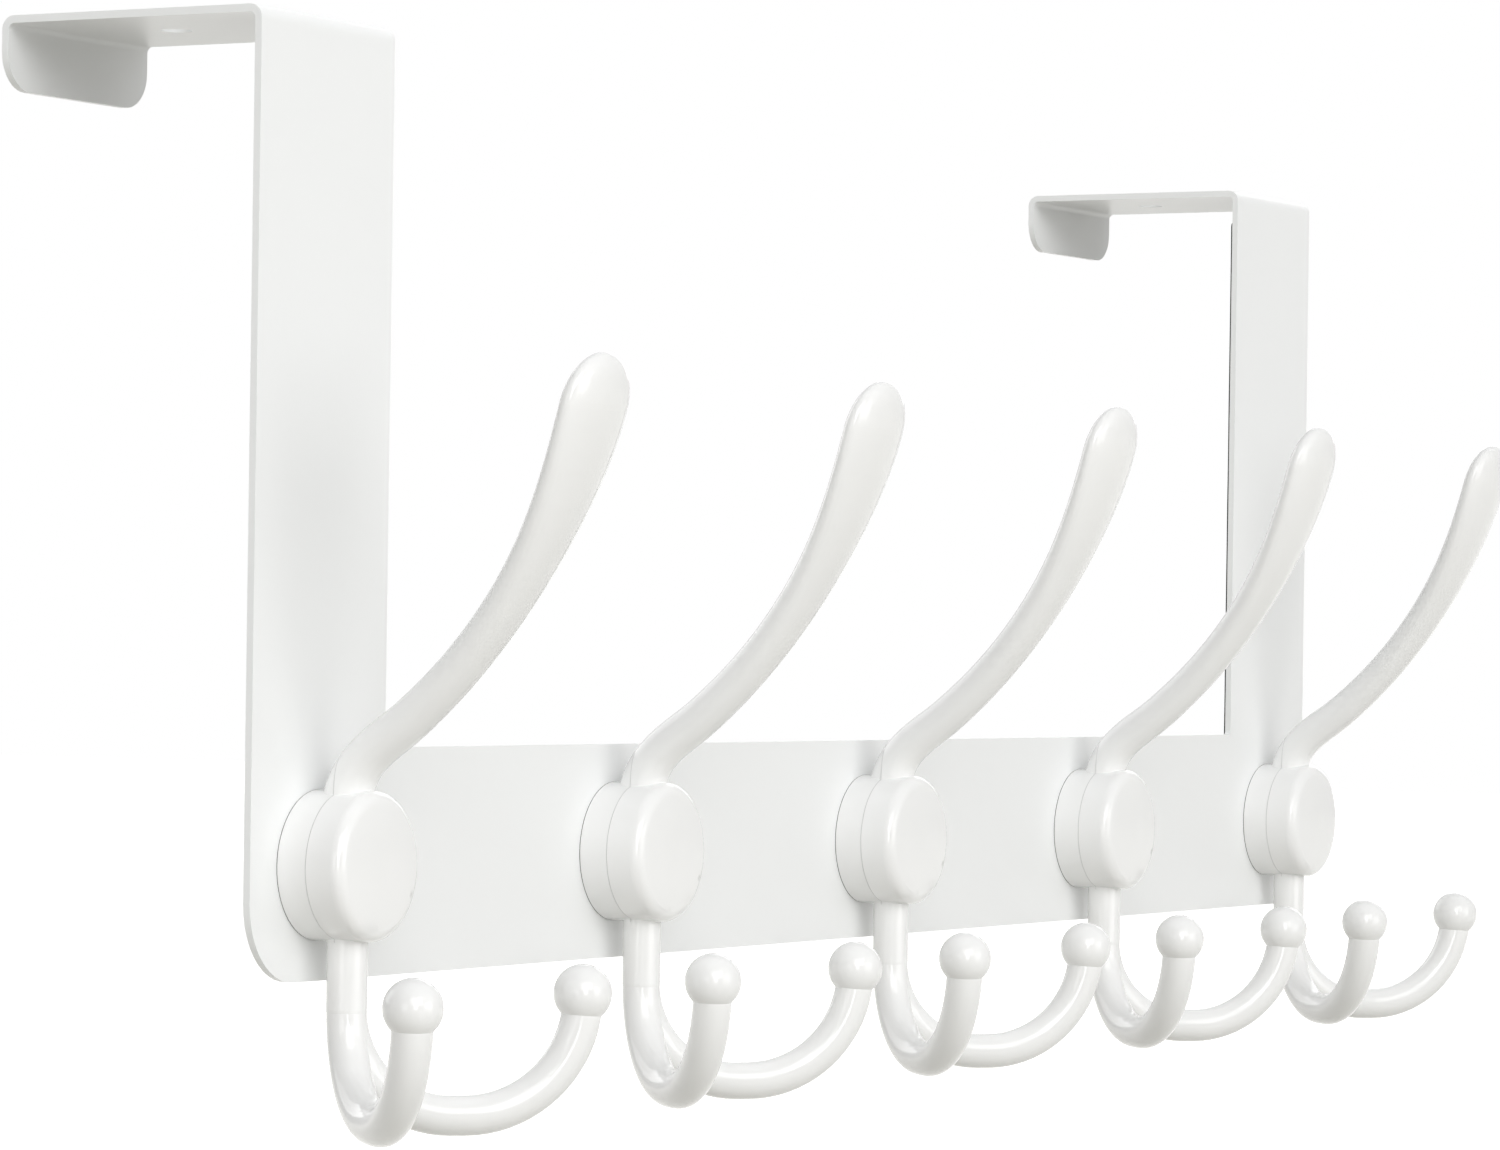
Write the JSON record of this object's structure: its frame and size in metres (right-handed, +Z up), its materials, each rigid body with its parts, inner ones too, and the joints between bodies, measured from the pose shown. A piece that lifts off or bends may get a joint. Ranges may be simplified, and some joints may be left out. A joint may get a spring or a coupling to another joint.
{
  "type": "over door hook",
  "caption": "White over door hook rack: a folded steel frame that hangs on a door's top edge, with moulded coat hooks along its rail and foam pads behind the straps.",
  "frame": {"origin": "Midway between the two holes in the flanges, on the flanges' underside, which rests on the door's top edge.", "axes": "+X runs along the rail, +Y goes over the door towards the rear lips, +Z is up."},
  "size_m": [0.4272, 0.1002, 0.1733],
  "materials": {
    "powder_coated_steel": "smooth semi-gloss white powder coat",
    "hook_plastic": "glossy white moulded plastic",
    "screw_steel": "bright zinc-plated steel",
    "pad_foam": "black closed-cell foam"
  },
  "bodies": {
    "root": {"door_frame": "powder_coated_steel", "hook_1": "hook_plastic", "hook_2": "hook_plastic", "hook_3": "hook_plastic", "hook_4": "hook_plastic", "hook_5": "hook_plastic", "hook_screws": "screw_steel", "left_pad": "pad_foam", "right_pad": "pad_foam"}
  },
  "joints": []
}
